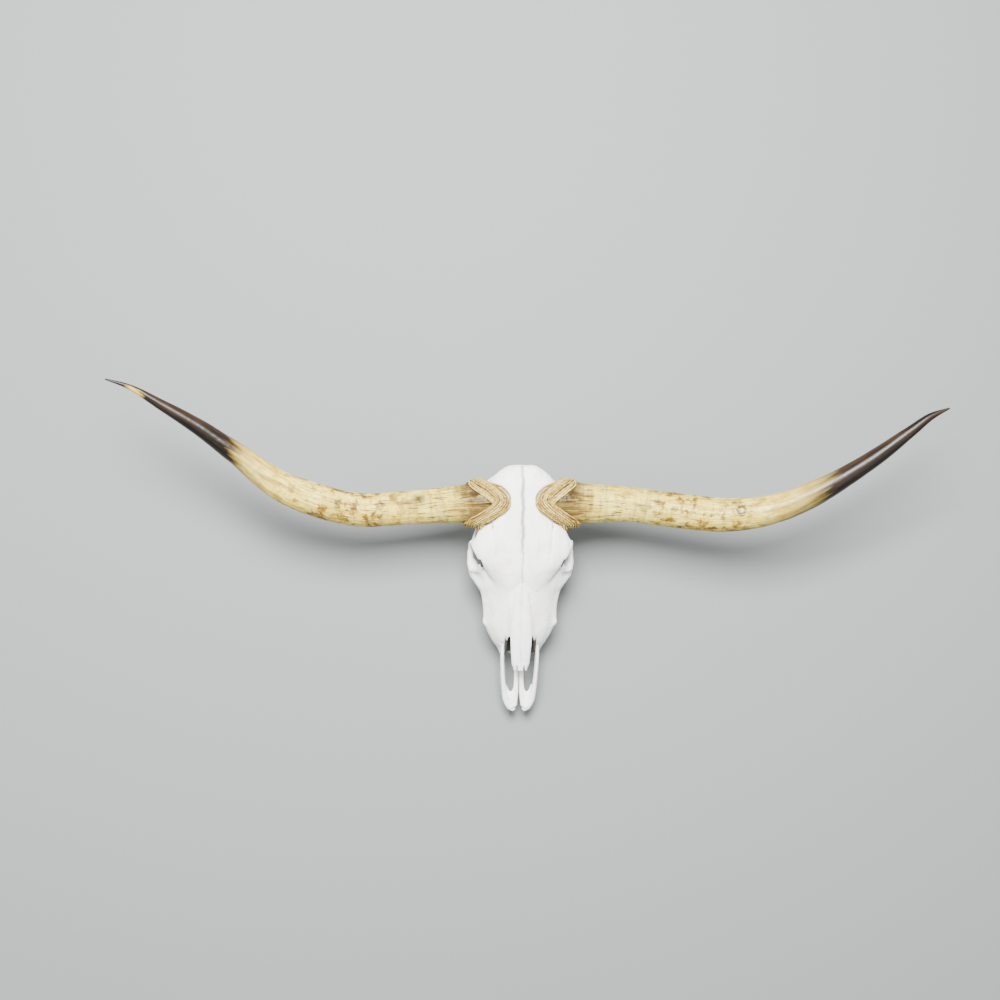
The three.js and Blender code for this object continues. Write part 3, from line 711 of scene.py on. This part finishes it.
    # Dull at the root and rubbed smooth towards the tip.
    rubbed = add(horn, "MapRange", dict(zip(SPAN, (length, 0.0, 0.46, 0.85, 0.33))))
    uneven = add(horn, "MapRange", dict(zip(SPAN, (streaks, 0.3, 0.7, 0, 0.12))))
    rubbed = add(horn, "Math", {0: rubbed, 1: uneven}, operation="ADD")
    horn.node_tree.links.new(rubbed, skin.inputs["Roughness"])
    skin.inputs["IOR"].default_value = 1.54
    skin.inputs["Specular IOR Level"].default_value = 0.2
    skin.inputs["Coat Weight"].default_value = 0.06
    skin.inputs["Coat Roughness"].default_value = 0.12
    cracks = add(horn, "MapRange", {"Value": threads, "From Min": 0.6, "From Max": 0.7})
    relief = add(horn, "Math", {0: fibres, 1: 0.5, 2: streaks}, operation="MULTIPLY_ADD")
    relief = add(horn, "Math", {0: ripples, 1: 0.8, 2: relief}, operation="MULTIPLY_ADD")
    relief = add(horn, "Math", {0: relief, 1: cracks}, operation="SUBTRACT")
    strength = add(horn, "MapRange", dict(zip(SPAN, (length, 0.0, 0.55, 0.8, 0.12))))
    bump = add(horn, "Bump", {"Height": relief, "Strength": strength, "Distance": 0.0008})
    horn.node_tree.links.new(bump, skin.inputs["Normal"])
    return horn


# The left horn has a ring-shaped knot, and the right one a blot and a pale patch near its tip.
finishes = {
    "left": horn_finish(
        "polished horn, brown tip",
        seed=0.31,
        dark_from=0.525,
        dark_over=0.075,
        slope=-1.4,
        pale_at=0,
        knot_at=(0.034, 0.010, 0.395),
        knot_size=0.009,
        knot_edge=0.005,
    ),
    "right": horn_finish(
        "polished horn, black tip",
        seed=1.72,
        dark_from=0.545,
        dark_over=0.03,
        slope=-0.6,
        pale_at=0.795,
        knot_at=(0.036, 0.016, 0.152),
        knot_size=0,
        knot_edge=0.018,
    ),
}
horn_pieces = {}
for side_name, side in (("left", 1), ("right", -1)):
    piece = horn_piece(side_name, side)
    piece.data.materials.append(finishes[side_name])
    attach(piece, "root")
    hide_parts("horn_" + side_name)
    horn_pieces[side_name] = piece

# ---------------------------------------------------------------- lashings
# Natural twine wound round each horn root. It crosses itself on the brow, where it reaches far in
# towards the middle line, and runs straight round the back of the horn.
TWINE_RADIUS = 2.15
TWINE_STEP = 4.75
TWIST_LENGTH = 9
PLIES = 3
ROOT = (66, -81, 150)

# Jute: dry, hairy and straw yellow, painted darker as shade between its plies and where it lies on
# what is under it.
# Its three plies go round once in 9 mm. V is counted in such turns and U goes once round the twine.
twine = bpy.data.materials.new("twisted jute twine")
twine.use_nodes = True
skin = twine.node_tree.nodes["Principled BSDF"]
here = add(twine, "TexCoord", output="Object")
clouds = add(twine, "TexNoise", {"Vector": here, "Scale": 160, "Detail": 4})
hairs = add(twine, "TexNoise", {"Vector": here, "Scale": 1500, "Detail": 2})
own = add(twine, "Attribute", output="Fac", attribute_name="tone")
sunk_at = add(twine, "Attribute", output="Fac", attribute_name="sunk")
wound = add(twine, "UVMap", uv_map="wound")
round_it = add(twine, "SeparateXYZ", {0: wound}, "X")
along_it = add(twine, "SeparateXYZ", {0: wound}, "Y")
turn = add(twine, "Math", {0: round_it, 1: along_it}, operation="ADD")
turn = add(twine, "Math", {0: turn, 1: PLIES * 2 * math.pi}, operation="MULTIPLY")
ply = add(twine, "Math", {0: turn}, operation="SINE")
tone = add(twine, "Math", {0: own, 1: 0.22, 2: clouds}, operation="MULTIPLY_ADD")
coat = [
    ("A07C34", (tone, 0.40, 0.78)),
    # painted shade in the grooves between the plies
    ("503A14", (ply, -0.2, -1, 0, 0.75)),
    # painted shade where it lies on what is under it
    ("3C280C", (sunk_at, 0, 1, 0, 0.85)),
]
twine.node_tree.links.new(painted(twine, "E6D07A", coat), skin.inputs["Base Color"])
skin.inputs["Roughness"].default_value = 0.85
skin.inputs["Specular IOR Level"].default_value = 0.25
relief = add(twine, "Math", {0: hairs, 1: 0.5, 2: ply}, operation="MULTIPLY_ADD")
bump = add(twine, "Bump", {"Height": relief, "Strength": 0.8, "Distance": 0.0006})
twine.node_tree.links.new(bump, skin.inputs["Normal"])


def laid_turn(ground, side, lean, offset):
    """One closed turn of twine round the horn root, laid on whatever is under it."""
    steps = 320
    angle = np.linspace(-math.pi, math.pi, steps, endpoint=False)  # 0 is up
    away = np.stack([0 * angle, np.sin(angle), np.cos(angle)], axis=1)

    # How far out from the middle line it runs: 44 mm on the brow and about 100 mm elsewhere.
    turned = angle - lean
    spread = np.where(turned < 0, 60, 50 + 9 * fade(turned, 1.4, 2.6))
    middle = 44 + spread * fade(np.abs(turned), 0, 1.31)
    slope = np.gradient(middle, angle) / 50  # the horn and twine are about 50 mm in radius
    circle = np.stack([np.cos(angle) * 30, np.sin(angle) * 30, 0 * angle + offset * 9], axis=1)
    reach = middle + offset * np.minimum(np.hypot(1, slope), 1.55) + 1.5 * grain(circle, 21, lean * 40)
    axis = np.stack([reach * side, np.full(steps, ROOT[1]), np.full(steps, ROOT[2])], axis=1)

    # How high it lies over the axis. It is drawn tight, so it bridges dips.
    start_at, if_nothing_there, at_most = 66, 44, 55
    height = np.empty(steps)
    for i in range(steps):
        start = Vector(place([axis[i] + away[i] * start_at])[0])
        hit = ground.ray_cast(start, -Vector(away[i]), start_at * MM)
        height[i] = start_at - hit[3] / MM if hit[0] else if_nothing_there
    height = np.minimum(height, at_most)
    for k in (1, 2, 3):
        height = np.maximum(height, np.maximum(np.roll(height, k), np.roll(height, -k)) - 0.3 * k)
    for _ in range(16):
        height = height * 0.5 + (np.roll(height, 1) + np.roll(height, -1)) * 0.25
    return place(axis + away * (height + TWINE_RADIUS)[:, None])


def twine_tube(loop, turns_before):
    """A round tube along a closed loop, with its surface laid out in turns of the twist."""
    steps = len(loop)
    heading = unit(np.roll(loop, -1, 0) - np.roll(loop, 1, 0))
    side_way = unit(np.cross(heading, (1, 0, 0)))
    up_way = np.cross(side_way, heading)
    length = np.linalg.norm(np.roll(loop, -1, 0) - loop, axis=1).sum()
    whole_turns = round(length / (TWIST_LENGTH * MM))
    mesh, row, angle = unrolled("twine", turns=12, rows=steps, uv="wound")
    i = row % steps
    ring = side_way[i] * np.cos(angle)[:, None] + up_way[i] * np.sin(angle)[:, None]
    twist = 2 * math.pi * (row / steps * whole_turns + turns_before)
    thick = TWINE_RADIUS * MM * (1 + 0.09 * np.sin(PLIES * (angle + math.pi + twist)))
    mesh.vertices.foreach_set("co", (loop[i] + ring * thick[:, None]).ravel())

    # It is painted darker as shade where it faces what it lies on, and each turn has a tone of its
    # own.
    outward = unit((loop - place([ROOT])[0]) * (0, 1, 1))
    sunk = fade(-np.einsum("ij,ij->i", ring, outward[i]), -0.85, 0.0)
    own_tone = 0.5 + 0.5 * math.sin(47 * turns_before)
    mark(mesh, sunk=sunk, tone=np.full(len(row), own_tone))
    uv = points_of(mesh.uv_layers[0], "uv", "vector", 2)
    uv[:, 1] = uv[:, 1] * whole_turns + turns_before
    mesh.uv_layers[0].uv.foreach_set("vector", uv.ravel())
    return mesh


TURNS_PER_LAYER = 7
for side_name, side in (("left", 1), ("right", -1)):
    ground = bmesh.new()
    ground.from_mesh(bones["cranium"].data)
    ground.from_mesh(horn_pieces[side_name].data)
    wrap = bmesh.new()
    for layer, (lean, shift) in enumerate(((-0.13, 2.5), (0.13, -2.0))):
        ground_tree = BVHTree.FromBMesh(ground)
        for k in range(TURNS_PER_LAYER):
            offset = (k - 3) * TWINE_STEP + shift
            loop = laid_turn(ground_tree, side, lean, offset)
            mesh = twine_tube(loop, k * 0.37 + layer * 0.2)
            wrap.from_mesh(mesh)
            ground.from_mesh(mesh)
            bpy.data.meshes.remove(mesh)
    ground.free()
    bmesh.ops.remove_doubles(wrap, verts=wrap.verts, dist=0.001 * MM)
    bmesh.ops.recalc_face_normals(wrap, faces=wrap.faces)
    mesh = bpy.data.meshes.new("twine_lashing_" + side_name)
    wrap.to_mesh(mesh)
    wrap.free()
    mesh.shade_smooth()
    piece = shown("twine_lashing_" + side_name, mesh)
    piece.data.materials.append(twine)
    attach(piece, "root")
    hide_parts("lashing_" + side_name)

bpy.data.meshes.remove(skull)

# ---------------------------------------------------------------- floor, light and camera
# A plain pale floor, large soft lights mostly from beyond the poll, and a camera that looks almost
# straight down from the animal's right.
floor_mesh = bmesh.new()
bmesh.ops.create_grid(floor_mesh, x_segments=1, y_segments=1, size=6)
mesh = bpy.data.meshes.new("floor")
floor_mesh.to_mesh(mesh)
floor_mesh.free()
floor = shown("floor", mesh)
paper = bpy.data.materials.new("pale matt floor")
paper.use_nodes = True
skin = paper.node_tree.nodes["Principled BSDF"]
skin.inputs["Base Color"].default_value = linear("7B7F7E")
skin.inputs["Roughness"].default_value = 0.9
floor.data.materials.append(paper)

for name, where, size, power in (
    ("key", (-0.3, 1.5, 3.3), 1.5, 660),
    ("fill", (1.8, -1.2, 3.0), 2.6, 45),
    ("side", (-2.4, -0.8, 2.4), 2.2, 55),
):
    lamp = bpy.data.lights.new(name, "AREA")
    lamp.size = size
    lamp.energy = power
    holder = bpy.data.objects.new(name, lamp)
    bpy.context.collection.objects.link(holder)
    holder.location = where
    holder.rotation_mode = "QUATERNION"
    holder.rotation_quaternion = (Vector((0, 0, 0.15)) - Vector(where)).to_track_quat("-Z", "Y")

world = bpy.data.worlds.new("soft room light")
bpy.context.scene.world = world
world.use_nodes = True
world.node_tree.nodes["Background"].inputs["Color"].default_value = linear("EEF1F4")
world.node_tree.nodes["Background"].inputs["Strength"].default_value = 0.5

lens = bpy.data.cameras.new("camera")
lens.sensor_width = 36
lens.lens = 62.31
camera = bpy.data.objects.new("camera", lens)
bpy.context.collection.objects.link(camera)
camera_place = place([(-251.1, -75, 3766.2)])[0]
back = Vector((-0.05661, 0, 0.9984)).normalized()
up = Vector((0, 1, 0))
turned = Matrix((up.cross(back), up, back)).transposed().to_4x4()
camera.matrix_world = Matrix.Translation(camera_place) @ turned
lens.clip_end = 50
bpy.context.scene.camera = camera
